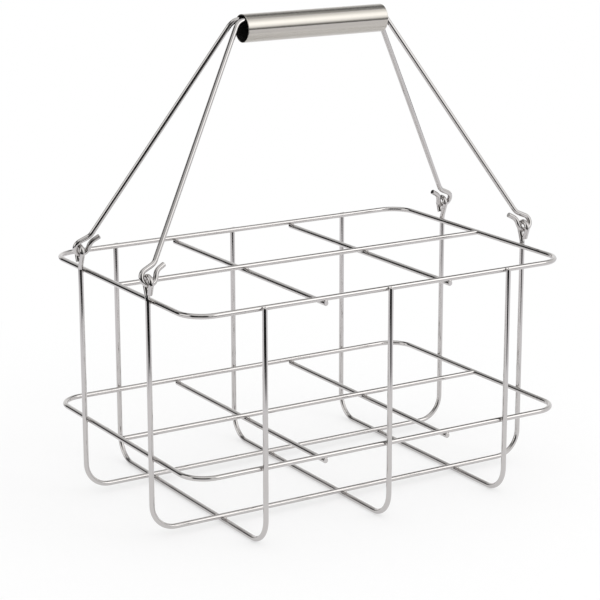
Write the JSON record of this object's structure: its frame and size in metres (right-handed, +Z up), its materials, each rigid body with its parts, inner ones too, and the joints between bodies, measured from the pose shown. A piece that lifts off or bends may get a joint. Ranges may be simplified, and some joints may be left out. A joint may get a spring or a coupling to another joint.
{
  "type": "wire bottle caddy",
  "caption": "Rectangular wire caddy with a grid of open cells for carrying upright bottles, and two hinged wire bails that meet in a loose tube grip.",
  "frame": {"origin": "on the floor, under the middle of the basket", "axes": "+X to the right along the long sides and along the grip, -Y to the front, +Z up"},
  "size_m": [0.3206, 0.2162, 0.3399],
  "materials": {
    "wire": "bright polished",
    "grip": "brushed round the tube"
  },
  "bodies": {
    "base": {"top_ring": "wire", "lower_ring": "wire", "top_long_divider": "wire", "lower_long_divider": "wire", "top_left_cross_divider": "wire", "top_right_cross_divider": "wire", "lower_left_cross_divider": "wire", "lower_right_cross_divider": "wire", "left_cross_wire": "wire", "middle_cross_wire": "wire", "right_cross_wire": "wire", "front_long_wire": "wire", "rear_long_wire": "wire"},
    "front_bail": {"front_bail": "wire"},
    "rear_bail": {"rear_bail": "wire"},
    "grip": {"grip_tube": "grip"}
  },
  "joints": [
    {"name": "front_bail_swing", "type": "hinge", "parent": "base", "child": "front_bail", "pos_m": [0, -0.05092, 0.17586], "axis": [1, 0, 0], "range_deg": [0, 3]},
    {"name": "rear_bail_swing", "type": "hinge", "parent": "base", "child": "rear_bail", "pos_m": [0, 0.05092, 0.17586], "axis": [1, 0, 0], "range_deg": [0, 3]},
    {"name": "grip_spin", "type": "hinge", "parent": "front_bail", "child": "grip", "pos_m": [0.0046, 0, 0.33022], "axis": [1, 0, 0], "continuous": true}
  ],
  "couplings": [
    {"joint": "rear_bail_swing", "follows": "front_bail_swing", "ratio": 1}
  ]
}
